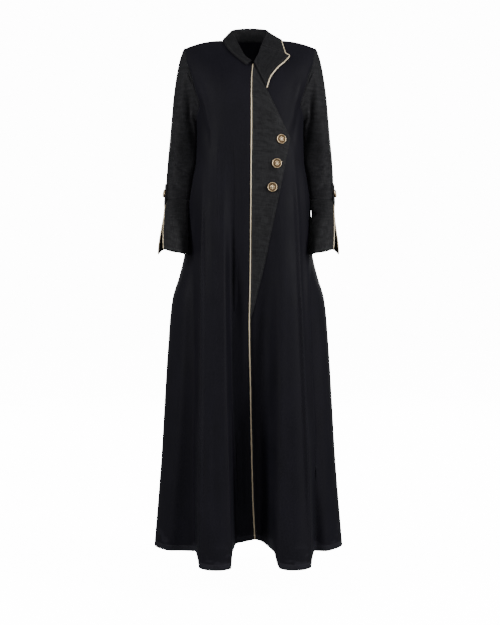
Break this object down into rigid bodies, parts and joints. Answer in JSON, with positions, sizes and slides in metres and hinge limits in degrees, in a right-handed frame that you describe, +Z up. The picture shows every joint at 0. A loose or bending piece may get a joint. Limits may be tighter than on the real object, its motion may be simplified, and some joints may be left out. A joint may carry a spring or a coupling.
{
  "type": "abaya",
  "caption": "Floor-length asymmetric abaya with a kite-shaped buttoned overlap, a folded lapel and piped edges, hanging hollow as worn.",
  "frame": {"origin": "middle of the neck base, level with the two shoulder neck points, where the wearer's shoulders hold the garment", "axes": "+Z up, -Y out of the garment's front, +X to the wearer's left"},
  "size_m": [0.532, 0.4488, 1.462],
  "materials": {
    "crepe": "matte crepe with a faint sheen",
    "weave": "slubbed linen-look weave",
    "piping": "champagne satin cord",
    "brass": "antiqued, bright on its raised rim"
  },
  "bodies": {
    "root": {"front_right": "crepe", "front_left": "crepe", "back": "crepe", "flap": "weave", "collar": "weave", "lapel": "weave", "sleeve_right": "weave", "sleeve_left": "weave", "cuff_right": "weave", "cuff_left": "weave", "tab_right": "weave", "tab_left": "weave", "piping_front": "piping", "piping_lapel": "piping", "piping_cuff_right_front": "piping", "piping_cuff_right_back": "piping", "piping_cuff_left_front": "piping", "piping_cuff_left_back": "piping", "button_front_1": "brass", "button_front_2": "brass", "button_front_3": "brass", "button_cuff_right": "brass", "button_cuff_left": "brass"}
  },
  "joints": []
}
